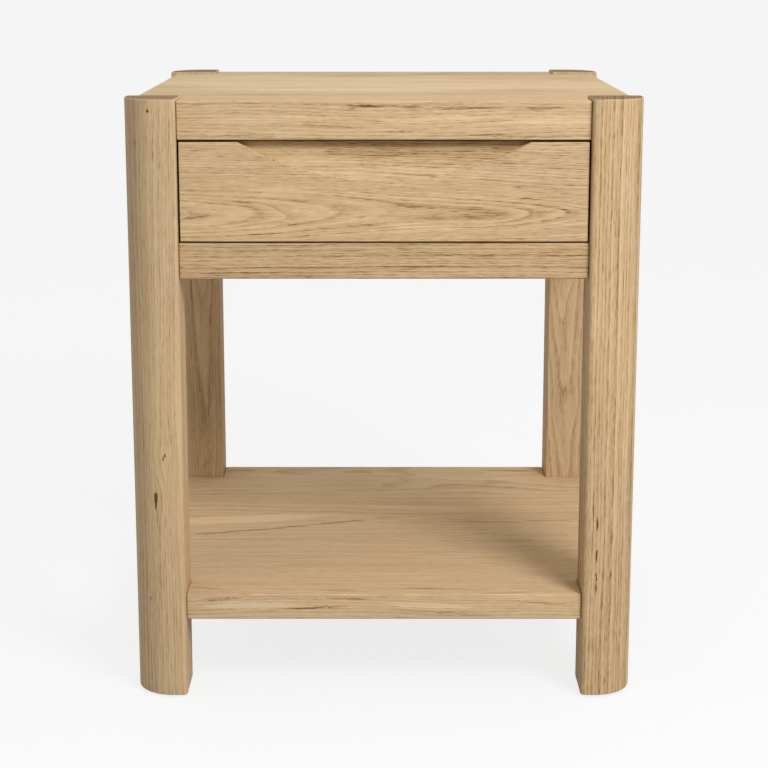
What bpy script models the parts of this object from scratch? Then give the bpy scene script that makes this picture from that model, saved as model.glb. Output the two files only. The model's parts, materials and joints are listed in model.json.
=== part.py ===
"""A solid oak nightstand with one drawer over an open shelf.

Four square posts with a large outer radius run the full height. A thick top, a thick
shelf, two sides, a back and a front rail are dowelled between them. The drawer is a box
with an applied oak front, and runs on a pair of telescopic slides.

Metres, +Z up. The front faces -Y, X is centred, and Z = 0 is the floor.
"""

import math

import bmesh
import bpy
from mathutils import Vector

# Overall size.
WIDTH = 0.508
DEPTH = 0.4826
HEIGHT = 0.6096

# Room between two pieces that touch.
GAP = 0.0003

# Posts.
POST = 0.053
POST_RADIUS = 0.038
POST_INNER_RADIUS = 0.0045
POST_SMALL_RADIUS = 0.002
POST_EASE = 0.0015

# Floor glides under the posts.
GLIDE_RADIUS = 0.012
GLIDE_THICKNESS = 0.002

# Panels between the posts. Heights are shares of the whole height.
SETBACK = 0.007
TOP_DROP = 0.0022
TOP_THICKNESS = 0.0375
SHELF_TOP = HEIGHT * 0.17815
SHELF_THICKNESS = 0.0268
PANEL_EASE = 0.0015
SIDE_THICKNESS = 0.018
BACK_THICKNESS = 0.015
CASE_BOTTOM_THICKNESS = 0.012
CASE_BOTTOM_RISE = 0.012

# Front rail and drawer front.
RAIL_HEIGHT = 0.0354
RAIL_THICKNESS = 0.025
FRONT_HEIGHT = 0.097
FRONT_THICKNESS = 0.020
FRONT_GAP_TOP = 0.0022
FRONT_GAP_BOTTOM = 0.0017
FRONT_GAP_SIDE = 0.0020
FRONT_EASE = 0.0012

# Finger recess in the top edge of the drawer front.
SCOOP_HALF_WIDTH = 0.1425
SCOOP_DROP = 0.0375
SCOOP_DEPTH = 0.0135
SCOOP_LIP = 0.0006

# Drawer box.
BOX_LENGTH = 0.350
BOX_HEIGHT = FRONT_HEIGHT - 0.024
BOX_WALL = 0.012
BOX_LIFT = 0.0113
BOTTOM_THICKNESS = 0.006
BOTTOM_RISE = 0.010
GROOVE_DEPTH = 0.006
BOX_EASE = 0.0008

# Telescopic slides, measured out from the cleat towards the drawer.
SLIDE_LENGTH = BOX_LENGTH
SLIDE_THICKNESS = 0.0127
SLIDE_HEIGHT = 0.045
SLIDE_SHEET = 0.0012
SLIDE_OUTER_LIP = 0.0096
SLIDE_MIDDLE_WEB = 0.0040
SLIDE_MIDDLE_LIP = 0.0109
SLIDE_INNER_LIP = 0.0062
CLEAT_HEIGHT = 0.054

# Dowels and screws.
DOWEL_RADIUS = 0.004
DOWEL_LENGTH = 0.040
SCREW_SHANK = 0.0018
SCREW_HEAD = 0.0040
SCREW_HEAD_HEIGHT = 0.0018
SLIDE_SCREW_LENGTH = 0.010
FRONT_SCREW_LENGTH = 0.026
HOLE_EXTRA = 0.001

# How finely round things are cut.
POST_ARC_STEPS = 16
SMALL_ARC_STEPS = 3
ROUND_SIDES = 16
GLIDE_SIDES = 24
SCOOP_SIDES = 160

# Positions that follow from the sizes above.
HALF_W = WIDTH / 2
HALF_D = DEPTH / 2
POST_IN_X = HALF_W - POST
POST_IN_Y = HALF_D - POST
PANEL_X = HALF_W - SETBACK
PANEL_Y = HALF_D - SETBACK
POST_FOOT = GLIDE_THICKNESS + GAP
TOP_TOP = HEIGHT - TOP_DROP
TOP_UNDER = TOP_TOP - TOP_THICKNESS
SHELF_UNDER = SHELF_TOP - SHELF_THICKNESS
FRONT_TOP = TOP_UNDER - FRONT_GAP_TOP
FRONT_UNDER = FRONT_TOP - FRONT_HEIGHT
RAIL_TOP = FRONT_UNDER - FRONT_GAP_BOTTOM
RAIL_UNDER = RAIL_TOP - RAIL_HEIGHT
SIDE_IN_X = PANEL_X - SIDE_THICKNESS
BACK_IN_Y = PANEL_Y - BACK_THICKNESS
FRONT_BACK_Y = -PANEL_Y + FRONT_THICKNESS
BOX_FRONT_Y = FRONT_BACK_Y + GAP
BOX_BACK_Y = BOX_FRONT_Y + BOX_LENGTH
SLIDE_WALL_X = POST_IN_X - GAP
BOX_X = SLIDE_WALL_X - SLIDE_THICKNESS - GAP
BOX_IN_X = BOX_X - BOX_WALL
BOX_UNDER = FRONT_UNDER + BOX_LIFT
BOX_TOP = BOX_UNDER + BOX_HEIGHT
SLIDE_Z = (BOX_UNDER + BOX_TOP) / 2
SLIDE_FRONT_Y = BOX_FRONT_Y
BOTTOM_UNDER = BOX_UNDER + BOTTOM_RISE
BOTTOM_TOP = BOTTOM_UNDER + BOTTOM_THICKNESS
CLEAT_IN_X = POST_IN_X

OAK = ("oak", (0.62, 0.43, 0.24), 0.45, 0.0)
OAK_END = ("oak_post", (0.60, 0.41, 0.23), 0.45, 0.0)
BIRCH = ("birch", (0.72, 0.58, 0.40), 0.50, 0.0)
PLY = ("birch_ply", (0.70, 0.57, 0.41), 0.55, 0.0)
BEECH = ("beech_dowel", (0.66, 0.48, 0.31), 0.60, 0.0)
ZINC = ("zinc_steel", (0.62, 0.63, 0.65), 0.35, 1.0)
DARK_ZINC = ("screw_steel", (0.45, 0.44, 0.42), 0.40, 1.0)
PLASTIC = ("glide_plastic", (0.06, 0.05, 0.045), 0.50, 0.0)

X_AXIS = Vector((1, 0, 0))
Y_AXIS = Vector((0, 1, 0))
Z_AXIS = Vector((0, 0, 1))


def clear_scene():
    for obj in list(bpy.data.objects):
        bpy.data.objects.remove(obj)


def new_collection(name):
    collection = bpy.data.collections.new(name)
    bpy.context.scene.collection.children.link(collection)
    return collection


def material(kind):
    name, colour, roughness, metallic = kind
    found = bpy.data.materials.get(name)
    if found:
        return found
    made = bpy.data.materials.new(name)
    made.use_nodes = True
    shader = made.node_tree.nodes["Principled BSDF"]
    shader.inputs["Base Color"].default_value = (*colour, 1.0)
    shader.inputs["Roughness"].default_value = roughness
    shader.inputs["Metallic"].default_value = metallic
    return made


def add_object(name, bm, kind, origin=(0, 0, 0)):
    """Makes one piece from a mesh drawn in place, with its origin moved to `origin`."""
    bmesh.ops.translate(bm, verts=bm.verts, vec=-Vector(origin))
    bmesh.ops.recalc_face_normals(bm, faces=bm.faces)
    mesh = bpy.data.meshes.new(name)
    bm.to_mesh(mesh)
    bm.free()
    obj = bpy.data.objects.new(name, mesh)
    obj.location = origin
    PARTS.objects.link(obj)
    mesh.materials.append(material(kind))
    return obj


def arc(centre, radius, start, turn, steps):
    """Points on a circle from the angle `start`, turning by `turn`."""
    points = []
    for i in range(steps + 1):
        angle = start + turn * i / steps
        points.append(
            (centre[0] + radius * math.cos(angle), centre[1] + radius * math.sin(angle))
        )
    return points


def prism(outline, axis, low, high):
    """A closed outline pushed along X, Y or Z between two positions."""
    bm = bmesh.new()
    rows = []
    for level in (low, high):
        row = []
        for a, b in outline:
            place = {"X": (level, a, b), "Y": (a, level, b), "Z": (a, b, level)}[axis]
            row.append(bm.verts.new(place))
        rows.append(row)
    bm.faces.new(rows[0])
    bm.faces.new(list(reversed(rows[1])))
    count = len(outline)
    for i in range(count):
        j = (i + 1) % count
        bm.faces.new((rows[0][j], rows[0][i], rows[1][i], rows[1][j]))
    return bm


def board(x0, x1, y0, y1, z0, z1):
    return prism([(x0, y0), (x1, y0), (x1, y1), (x0, y1)], "Z", z0, z1)


def turned(profile, base, axis, sides):
    """A solid of revolution. The profile runs base to tip as (radius, distance) pairs."""
    bm = bmesh.new()
    spin = axis.to_track_quat("Z", "Y").to_matrix()
    rings = []
    for radius, along in profile:
        ring = []
        for i in range(sides):
            angle = math.tau * (i + 0.5) / sides
            local = Vector((radius * math.cos(angle), radius * math.sin(angle), along))
            ring.append(bm.verts.new(Vector(base) + spin @ local))
        rings.append(ring)
    bm.faces.new(list(reversed(rings[0])))
    bm.faces.new(rings[-1])
    for lower, upper in zip(rings, rings[1:]):
        for i in range(sides):
            j = (i + 1) % sides
            bm.faces.new((lower[i], lower[j], upper[j], upper[i]))
    return bm


def ease(obj, width, segments=2):
    """Takes the sharpness off every outside corner of a wooden piece."""
    mesh = obj.data
    bm = bmesh.new()
    bm.from_mesh(mesh)
    layer = bm.edges.layers.float.new("bevel_weight_edge")
    for edge in bm.edges:
        if edge.calc_face_angle_signed(0.0) > math.radians(40):
            edge[layer] = 1.0
    bm.to_mesh(mesh)
    bm.free()
    bevel = obj.modifiers.new("eased_arris", "BEVEL")
    bevel.limit_method = "WEIGHT"
    bevel.width = width
    bevel.segments = segments
    bevel.use_clamp_overlap = True


def add_cutter(name, bm):
    bmesh.ops.recalc_face_normals(bm, faces=bm.faces)
    mesh = bpy.data.meshes.new(name)
    bm.to_mesh(mesh)
    bm.free()
    cutter = bpy.data.objects.new(name, mesh)
    cutter.hide_render = True
    cutter.display_type = "WIRE"
    CUTTERS.objects.link(cutter)
    return cutter


def cut(obj, cutter):
    boolean = obj.modifiers.new("cut", "BOOLEAN")
    boolean.operation = "DIFFERENCE"
    boolean.solver = "EXACT"
    boolean.object = cutter


def holes(obj, bores):
    """Drills straight holes. Each bore is (start, unit axis, length, radius)."""
    bm = bmesh.new()
    for start, axis, length, radius in bores:
        bore = turned([(radius, 0.0), (radius, length)], start, axis, ROUND_SIDES)
        part = bpy.data.meshes.new("bore")
        bore.to_mesh(part)
        bore.free()
        bm.from_mesh(part)
        bpy.data.meshes.remove(part)
    cut(obj, add_cutter(obj.name + "_holes", bm))


def shade(obj, angle=30):
    for polygon in obj.data.polygons:
        polygon.use_smooth = True
    obj.data.set_sharp_from_angle(angle=math.radians(angle))


clear_scene()
PARTS = new_collection("nightstand")
CUTTERS = new_collection("cutters")

CORNERS = {
    "front_left": (-1, -1),
    "front_right": (1, -1),
    "rear_left": (-1, 1),
    "rear_right": (1, 1),
}
SIDES = {"left": -1, "right": 1}

# Holes wanted in each piece, filled in by the dowels and screws and drilled at the end.
wanted = {}


def want(name, start, axis, length, radius):
    wanted.setdefault(name, []).append((Vector(start), axis, length, radius))


def dowel(name, middle, axis, first, second):
    """A dowel half in one piece and half in the other, with a blind hole in each."""
    reach = DOWEL_LENGTH / 2
    base = Vector(middle) - axis * reach
    tip = DOWEL_RADIUS * 0.75
    end = DOWEL_RADIUS - tip
    profile = [
        (tip, 0.0),
        (DOWEL_RADIUS, end),
        (DOWEL_RADIUS, DOWEL_LENGTH - end),
        (tip, DOWEL_LENGTH),
    ]
    obj = add_object(name, turned(profile, base, axis, ROUND_SIDES), BEECH, middle)
    shade(obj, 50)
    bore = DOWEL_RADIUS + GAP
    depth = reach + HOLE_EXTRA
    want(first, Vector(middle) + axis * GAP * 2, -axis, depth + GAP * 2, bore)
    want(second, Vector(middle) - axis * GAP * 2, axis, depth + GAP * 2, bore)


def screw(name, seat, axis, length, pieces):
    """A pan-head screw. `seat` is the face under its head and `axis` is the way it drives."""
    shank = length - GAP
    base = Vector(seat) - axis * (SCREW_HEAD_HEIGHT + GAP)
    profile = [
        (SCREW_HEAD * 0.70, 0.0),
        (SCREW_HEAD * 0.95, SCREW_HEAD_HEIGHT * 0.4),
        (SCREW_HEAD, SCREW_HEAD_HEIGHT * 0.7),
        (SCREW_HEAD, SCREW_HEAD_HEIGHT),
        (SCREW_SHANK, SCREW_HEAD_HEIGHT),
        (SCREW_SHANK, SCREW_HEAD_HEIGHT + shank - SCREW_SHANK),
        (SCREW_SHANK * 0.25, SCREW_HEAD_HEIGHT + shank),
    ]
    obj = add_object(name, turned(profile, base, axis, ROUND_SIDES), DARK_ZINC, seat)
    shade(obj)
    start = Vector(seat) - axis * HOLE_EXTRA
    for piece, depth in pieces:
        want(piece, start, axis, depth + HOLE_EXTRA, SCREW_SHANK + GAP)


# Posts: square, with a large radius on the outside corner and a smaller one inside.
def post_outline(sx, sy):
    """The post's section as seen from above, for the corner with these signs."""
    outer = (HALF_W - POST_RADIUS, HALF_D - POST_RADIUS)
    near_x = (HALF_W - POST_SMALL_RADIUS, POST_IN_Y + POST_SMALL_RADIUS)
    inner = (POST_IN_X + POST_SMALL_RADIUS, POST_IN_Y + POST_SMALL_RADIUS)
    face = (POST_IN_X + POST_INNER_RADIUS, HALF_D - POST_INNER_RADIUS)
    quarter = math.pi / 2
    points = arc(outer, POST_RADIUS, 0, quarter, POST_ARC_STEPS)
    points += arc(face, POST_INNER_RADIUS, quarter, quarter, SMALL_ARC_STEPS + 1)
    points += arc(inner, POST_SMALL_RADIUS, 2 * quarter, quarter, SMALL_ARC_STEPS)
    points += arc(near_x, POST_SMALL_RADIUS, 3 * quarter, quarter, SMALL_ARC_STEPS)
    points = [(x * sx, y * sy) for x, y in points]
    if sx * sy < 0:
        points.reverse()
    return points


for corner, (sx, sy) in CORNERS.items():
    post = add_object(
        "post_" + corner, prism(post_outline(sx, sy), "Z", POST_FOOT, HEIGHT), OAK_END
    )
    ease(post, POST_EASE)
    shade(post)
    foot = (sx * (HALF_W - POST / 2), sy * (HALF_D - POST / 2), 0)
    profile = [
        (GLIDE_RADIUS * 0.9, 0.0),
        (GLIDE_RADIUS, GLIDE_THICKNESS * 0.5),
        (GLIDE_RADIUS, GLIDE_THICKNESS),
    ]
    glide = add_object(
        "glide_" + corner, turned(profile, foot, Z_AXIS, GLIDE_SIDES), PLASTIC, foot
    )
    shade(glide)


# Top, shelf and case bottom: boards notched round the four posts.
def notched_outline(half_x, half_y, notch_x, notch_y):
    quarter = [(notch_x, half_y), (notch_x, notch_y), (half_x, notch_y)]
    points = [(x, -y) for x, y in quarter]
    points += [(x, y) for x, y in reversed(quarter)]
    points += [(-x, y) for x, y in quarter]
    points += [(-x, -y) for x, y in reversed(quarter)]
    return points


FIELD = notched_outline(PANEL_X, PANEL_Y, POST_IN_X - GAP, POST_IN_Y - GAP)
top_panel = add_object("top_panel", prism(FIELD, "Z", TOP_UNDER, TOP_TOP), OAK)
ease(top_panel, PANEL_EASE)
shelf = add_object("shelf", prism(FIELD, "Z", SHELF_UNDER, SHELF_TOP), OAK)
ease(shelf, PANEL_EASE)

RAIL_BACK_Y = -PANEL_Y + RAIL_THICKNESS
CASE_BOTTOM_UNDER = RAIL_UNDER + CASE_BOTTOM_RISE
CASE_BOTTOM_TOP = CASE_BOTTOM_UNDER + CASE_BOTTOM_THICKNESS


def case_outline():
    """The case bottom reaches the sides, the rail and the back, and clears the posts."""
    wide = SIDE_IN_X - GAP
    slim = POST_IN_X - GAP
    deep = POST_IN_Y - GAP
    front = RAIL_BACK_Y + GAP
    back = BACK_IN_Y - GAP
    return [
        (-slim, front),
        (slim, front),
        (slim, -deep),
        (wide, -deep),
        (wide, deep),
        (slim, deep),
        (slim, back),
        (-slim, back),
        (-slim, deep),
        (-wide, deep),
        (-wide, -deep),
        (-slim, -deep),
    ]


add_object(
    "case_bottom", prism(case_outline(), "Z", CASE_BOTTOM_UNDER, CASE_BOTTOM_TOP), PLY
)

# Sides, back and rail, between the posts and under the top.
for side, s in SIDES.items():
    x0, x1 = sorted((s * SIDE_IN_X, s * PANEL_X))
    deep = POST_IN_Y - GAP
    panel = add_object(
        "side_panel_" + side, board(x0, x1, -deep, deep, RAIL_UNDER, TOP_UNDER - GAP), OAK
    )
    ease(panel, PANEL_EASE)
    x0, x1 = sorted((s * CLEAT_IN_X, s * (SIDE_IN_X - GAP)))
    low = SLIDE_Z - CLEAT_HEIGHT / 2
    add_object(
        "runner_cleat_" + side, board(x0, x1, -deep, deep, low, low + CLEAT_HEIGHT), BIRCH
    )

slim = POST_IN_X - GAP
back_panel = add_object(
    "back_panel", board(-slim, slim, BACK_IN_Y, PANEL_Y, RAIL_UNDER, TOP_UNDER - GAP), OAK
)
ease(back_panel, PANEL_EASE)
rail = add_object(
    "front_rail", board(-slim, slim, -PANEL_Y, RAIL_BACK_Y, RAIL_UNDER, RAIL_TOP), OAK
)
ease(rail, PANEL_EASE)

# Slides: three nested channels a side, drawn for the right and mirrored for the left.
HALF_OUTER = SLIDE_HEIGHT / 2
HALF_MIDDLE = HALF_OUTER - SLIDE_SHEET - GAP
HALF_INNER = HALF_MIDDLE - SLIDE_SHEET - GAP


def channel(s, web, lip, half):
    """A channel's section. `web` and `lip` are how far its web and its lips' ends stand out."""
    turn = 1 if lip > web else -1
    inside = web + turn * SLIDE_SHEET
    bend = half - SLIDE_SHEET
    points = [
        (web, -half),
        (lip, -half),
        (lip, -bend),
        (inside, -bend),
        (inside, bend),
        (lip, bend),
        (lip, half),
        (web, half),
    ]
    return [(s * (SLIDE_WALL_X - out), SLIDE_Z + up) for out, up in points]


SECTIONS = {
    "slide_outer_": (0.0, SLIDE_OUTER_LIP, HALF_OUTER),
    "slide_middle_": (SLIDE_MIDDLE_WEB, SLIDE_MIDDLE_LIP, HALF_MIDDLE),
    "slide_inner_": (SLIDE_THICKNESS, SLIDE_INNER_LIP, HALF_INNER),
}
for side, s in SIDES.items():
    for name, (web, lip, half) in SECTIONS.items():
        section = channel(s, web, lip, half)
        bm = prism(section, "Y", SLIDE_FRONT_Y, SLIDE_FRONT_Y + SLIDE_LENGTH)
        origin = (s * (SLIDE_WALL_X - web), SLIDE_FRONT_Y, SLIDE_Z)
        add_object(name + side, bm, ZINC, origin)

# Drawer front, with a curved recess cut back into its top edge.
FRONT_X = POST_IN_X - FRONT_GAP_SIDE
drawer_front = add_object(
    "drawer_front",
    board(-FRONT_X, FRONT_X, -PANEL_Y, FRONT_BACK_Y, FRONT_UNDER, FRONT_TOP),
    OAK,
    (0, FRONT_BACK_Y, FRONT_UNDER),
)
ease(drawer_front, FRONT_EASE)
SCOOP_RADIUS = (SCOOP_HALF_WIDTH**2 + SCOOP_DROP**2) / (2 * SCOOP_DROP)


def scoop_cutter():
    """A round-ended wedge: its curve is the recess's edge and its slope the recess's floor."""
    reach = SCOOP_DEPTH * 0.5
    lift = SCOOP_DROP * 0.3
    low = FRONT_TOP - SCOOP_DROP
    slope = (SCOOP_DEPTH - SCOOP_LIP) / SCOOP_DROP
    middle = FRONT_TOP + SCOOP_RADIUS - SCOOP_DROP
    outline = []
    for i in range(SCOOP_SIDES + 1):
        angle = math.asin(SCOOP_HALF_WIDTH / SCOOP_RADIUS) * 1.25
        angle *= 2 * i / SCOOP_SIDES - 1
        x = SCOOP_RADIUS * math.sin(angle)
        z = middle - SCOOP_RADIUS * math.cos(angle)
        if z < FRONT_TOP + lift:
            outline.append((x, z))
    ceiling = FRONT_TOP + lift
    outline.append((outline[-1][0], ceiling))
    outline.append((outline[0][0], ceiling))
    bm = bmesh.new()
    face = -PANEL_Y - reach
    fronts = [bm.verts.new((x, face, z)) for x, z in outline]
    floor = -PANEL_Y + SCOOP_LIP
    backs = [bm.verts.new((x, floor + slope * (z - low), z)) for x, z in outline]
    bm.faces.new(fronts)
    bm.faces.new(list(reversed(backs)))
    count = len(outline)
    for i in range(count):
        j = (i + 1) % count
        bm.faces.new((fronts[j], fronts[i], backs[i], backs[j]))
    return bm


cut(drawer_front, add_cutter("scoop", scoop_cutter()))


# Drawer box: two grooved sides, a front and a back between them, and a bottom in the grooves.
def grooved(inner, outer):
    """A board's section with a groove in its inner face for the bottom."""
    deep = inner + (GROOVE_DEPTH if outer > inner else -GROOVE_DEPTH)
    low = BOTTOM_UNDER - GAP
    high = BOTTOM_TOP + GAP
    return [
        (outer, BOX_UNDER),
        (inner, BOX_UNDER),
        (inner, low),
        (deep, low),
        (deep, high),
        (inner, high),
        (inner, BOX_TOP),
        (outer, BOX_TOP),
    ]


for side, s in SIDES.items():
    bm = prism(grooved(s * BOX_IN_X, s * BOX_X), "Y", BOX_FRONT_Y, BOX_BACK_Y)
    box_side = add_object("drawer_side_" + side, bm, BIRCH)
    ease(box_side, BOX_EASE, 1)
BOX_ENDS = {
    "drawer_box_front": (BOX_FRONT_Y + BOX_WALL, BOX_FRONT_Y),
    "drawer_box_back": (BOX_BACK_Y - BOX_WALL, BOX_BACK_Y),
}
for name, (inner, outer) in BOX_ENDS.items():
    half = BOX_IN_X - GAP
    box_end = add_object(name, prism(grooved(inner, outer), "X", -half, half), BIRCH)
    ease(box_end, BOX_EASE, 1)
tongue = GROOVE_DEPTH - GAP
add_object(
    "drawer_bottom",
    board(
        -BOX_IN_X - tongue,
        BOX_IN_X + tongue,
        BOX_FRONT_Y + BOX_WALL - tongue,
        BOX_BACK_Y - BOX_WALL + tongue,
        BOTTOM_UNDER,
        BOTTOM_TOP,
    ),
    PLY,
)

# Dowels from the panels into the posts.
SIDE_DOWEL_HEIGHTS = {"low": 0.23, "high": 0.77}
SIDE_DOWEL_X = (PANEL_X + SIDE_IN_X) / 2
SIDE_HEIGHT = TOP_UNDER - RAIL_UNDER
for corner, (sx, sy) in CORNERS.items():
    side = "left" if sx < 0 else "right"
    post_name = "post_" + corner
    toward = Y_AXIS * sy
    for level, share in SIDE_DOWEL_HEIGHTS.items():
        middle = (sx * SIDE_DOWEL_X, sy * POST_IN_Y, RAIL_UNDER + SIDE_HEIGHT * share)
        dowel(f"dowel_side_{corner}_{level}", middle, toward, "side_panel_" + side, post_name)
    toward = X_AXIS * sx
    y = sy * (HALF_D - POST / 2)
    middle = (sx * POST_IN_X, y, (TOP_TOP + TOP_UNDER) / 2)
    dowel("dowel_top_" + corner, middle, toward, "top_panel", post_name)
    middle = (sx * POST_IN_X, y, (SHELF_TOP + SHELF_UNDER) / 2)
    dowel("dowel_shelf_" + corner, middle, toward, "shelf", post_name)
    if sy < 0:
        y = -PANEL_Y + RAIL_THICKNESS / 2
        middle = (sx * POST_IN_X, y, (RAIL_TOP + RAIL_UNDER) / 2)
        dowel("dowel_rail_" + side, middle, toward, "front_rail", post_name)
    else:
        y = PANEL_Y - BACK_THICKNESS / 2
        middle = (sx * POST_IN_X, y, RAIL_UNDER + SIDE_HEIGHT / 2)
        dowel("dowel_back_" + side, middle, toward, "back_panel", post_name)

# Screws: two through each slide member, and two holding the drawer front to its box.
FRONT_SCREW_X = BOX_IN_X * 0.6
SLIDE_SCREW_INSET = 0.060
SLIDE_SCREW_YS = {
    "front": SLIDE_FRONT_Y + SLIDE_SCREW_INSET,
    "rear": SLIDE_FRONT_Y + SLIDE_LENGTH - SLIDE_SCREW_INSET,
}
for side, s in SIDES.items():
    out = X_AXIS * s
    for end, y in SLIDE_SCREW_YS.items():
        seat = (s * (SLIDE_WALL_X - SLIDE_SHEET), y, SLIDE_Z)
        depth = SLIDE_SCREW_LENGTH + HOLE_EXTRA
        pieces = [("slide_outer_" + side, depth), ("runner_cleat_" + side, depth)]
        screw(f"screw_outer_{side}_{end}", seat, out, SLIDE_SCREW_LENGTH, pieces)
        seat = (s * (SLIDE_WALL_X - SLIDE_THICKNESS + SLIDE_SHEET), y, SLIDE_Z)
        pieces = [("slide_inner_" + side, depth), ("drawer_side_" + side, depth)]
        screw(f"screw_inner_{side}_{end}", seat, -out, SLIDE_SCREW_LENGTH, pieces)
    seat = (s * FRONT_SCREW_X, BOX_FRONT_Y + BOX_WALL, SLIDE_Z)
    depth = FRONT_SCREW_LENGTH + HOLE_EXTRA
    pieces = [("drawer_box_front", depth), ("drawer_front", depth)]
    screw("screw_front_" + side, seat, -Y_AXIS, FRONT_SCREW_LENGTH, pieces)

for name, bores in wanted.items():
    holes(bpy.data.objects[name], bores)
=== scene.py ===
import json
import math

import bmesh
import bpy
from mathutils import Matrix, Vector

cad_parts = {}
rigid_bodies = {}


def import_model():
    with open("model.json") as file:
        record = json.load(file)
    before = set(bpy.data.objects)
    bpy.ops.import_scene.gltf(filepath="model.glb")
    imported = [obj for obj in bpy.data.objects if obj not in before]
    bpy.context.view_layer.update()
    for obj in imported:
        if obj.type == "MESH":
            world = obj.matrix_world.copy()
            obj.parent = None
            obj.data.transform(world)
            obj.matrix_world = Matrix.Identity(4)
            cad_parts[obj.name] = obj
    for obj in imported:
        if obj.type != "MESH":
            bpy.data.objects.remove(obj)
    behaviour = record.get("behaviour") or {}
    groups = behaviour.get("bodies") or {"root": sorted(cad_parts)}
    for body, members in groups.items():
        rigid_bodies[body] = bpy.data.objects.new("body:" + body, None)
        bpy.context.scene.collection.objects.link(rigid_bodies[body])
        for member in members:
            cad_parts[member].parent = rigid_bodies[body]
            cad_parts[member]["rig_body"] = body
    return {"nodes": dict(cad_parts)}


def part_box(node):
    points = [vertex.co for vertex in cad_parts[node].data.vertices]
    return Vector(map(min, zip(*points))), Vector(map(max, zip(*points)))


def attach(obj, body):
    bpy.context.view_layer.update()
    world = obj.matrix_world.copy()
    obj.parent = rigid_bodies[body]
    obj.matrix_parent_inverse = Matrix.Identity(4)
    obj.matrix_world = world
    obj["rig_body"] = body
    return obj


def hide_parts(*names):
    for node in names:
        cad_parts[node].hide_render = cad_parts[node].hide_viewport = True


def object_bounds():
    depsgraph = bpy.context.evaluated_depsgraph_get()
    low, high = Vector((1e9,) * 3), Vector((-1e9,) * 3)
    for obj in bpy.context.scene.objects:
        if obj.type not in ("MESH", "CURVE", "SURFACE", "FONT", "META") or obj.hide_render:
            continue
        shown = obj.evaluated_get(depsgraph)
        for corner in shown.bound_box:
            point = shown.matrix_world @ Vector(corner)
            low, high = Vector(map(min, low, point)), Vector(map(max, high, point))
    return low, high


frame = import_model()
cad_low, cad_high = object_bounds()

# Posts. Four square lengths of solid oak run from the floor to just above the top. Each has a
# large radius worked on its outside corner and a small one facing into the front. The sawn
# ends show open end grain, with the sharpness sanded off.


def socket_in(tree, made, key, value):
    """Links a socket, or sets a plain value."""
    if isinstance(value, bpy.types.NodeSocket):
        tree.links.new(value, made.inputs[key])
    else:
        made.inputs[key].default_value = value


def node(tree, kind, inputs=(), **settings):
    """One shader node, with its sockets and its settings filled in."""
    made = tree.nodes.new("ShaderNode" + kind)
    for name, value in settings.items():
        setattr(made, name, value)
    for key, value in dict(inputs).items():
        socket_in(tree, made, key, value)
    return made


def sums(tree, operation, *values, clamp=False):
    """Reckons with single numbers."""
    made = node(tree, "Math", dict(enumerate(values)), operation=operation, use_clamp=clamp)
    return made.outputs[0]


def vectors(tree, operation, *values):
    """Reckons with places and directions."""
    made = node(tree, "VectorMath", dict(enumerate(values)), operation=operation)
    return made.outputs["Value" if operation in ("LENGTH", "DOT_PRODUCT") else "Vector"]


def scaled(tree, vector, factor):
    """A direction made longer or shorter."""
    inputs = {0: vector, "Scale": factor}
    return node(tree, "VectorMath", inputs, operation="SCALE").outputs["Vector"]


def step(tree, value, low, high):
    """A soft step from 0 at one level to 1 at the other."""
    inputs = {"Value": value, 1: low, 2: high}
    made = node(tree, "MapRange", inputs, interpolation_type="SMOOTHSTEP")
    return made.outputs[0]


def noise(tree, place, stretch, detail=2.0, output="Fac", roughness=0.5):
    """Cloudy noise. `stretch` is how many times it changes in a metre, along X, Y and Z."""
    inputs = {"Vector": vectors(tree, "MULTIPLY", place, stretch), "Scale": 1.0}
    inputs.update(Detail=detail, Roughness=roughness)
    return node(tree, "TexNoise", inputs).outputs[output]


def centred(tree, value):
    """Noise that swings round nothing instead of round a half."""
    return sums(tree, "SUBTRACT", value, 0.5)


def centred_colour(tree, value):
    return vectors(tree, "SUBTRACT", value, (0.5, 0.5, 0.5))


def layered(tree, parts, start):
    """Adds weighted parts on to a start."""
    total = start
    for part, weight in parts:
        total = sums(tree, "MULTIPLY_ADD", part, weight, total)
    return total


def ramp(tree, value, stops):
    """A colour for every level, blended between the stops."""
    made = node(tree, "ValToRGB", {"Fac": value})
    elements = made.color_ramp.elements
    while len(elements) < len(stops):
        elements.new(0.5)
    for element, (position, colour) in zip(elements, stops):
        element.position = position
        element.color = colour
    return made.outputs["Color"]


def multiplied(tree, colour, by, amount=1.0):
    """One colour darkened by another."""
    mixed = node(tree, "Mix", data_type="RGBA", blend_type="MULTIPLY")
    for key, value in {0: amount, 6: colour, 7: by}.items():
        socket_in(tree, mixed, key, value)
    return mixed.outputs[2]


def tone(text):
    """A paint-chart colour, as six hex digits, in the numbers that light is reckoned in."""
    parts = [int(text[i : i + 2], 16) / 255 for i in (0, 2, 4)]
    linear = [p / 12.92 if p <= 0.04045 else ((p + 0.055) / 1.055) ** 2.4 for p in parts]
    return (*linear, 1.0)


# How many times each part of the figure changes in a metre: across the grain twice, then along it.
WANDER = (9.0, 9.0, 2.4)
RIPPLE = (70.0, 70.0, 15.0)
PORE_DASHES = (700.0, 700.0, 42.0)
HAIRS = (1200.0, 1200.0, 105.0)
FIBRES = (600.0, 600.0, 34.0)
STREAKS = (170.0, 170.0, 7.0)
CLOUDS = (22.0, 22.0, 2.6)
LONE_PORES = (1300.0, 1300.0, 95.0)
RIPPLE_SHARE = 0.06
RING_WIDTH_CHANGE = 2.2
RING_WIDTH_PACE = 0.40
PORE_BAND_START = 0.12
PORE_BAND_FALL = 2.2
BAND_LUCK, BAND_LEAST = 0.65, 0.35
DASH_EDGE = (0.36, 0.64)
DASH_SHARE, UNBROKEN_SHARE = 0.45, 0.55
LONE_PORE_EDGE = (0.60, 0.76)
PORES_IN_BAND, PORES_ELSEWHERE = 0.80, 0.26
LATE_WOOD = (0.45, 0.95)


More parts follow.
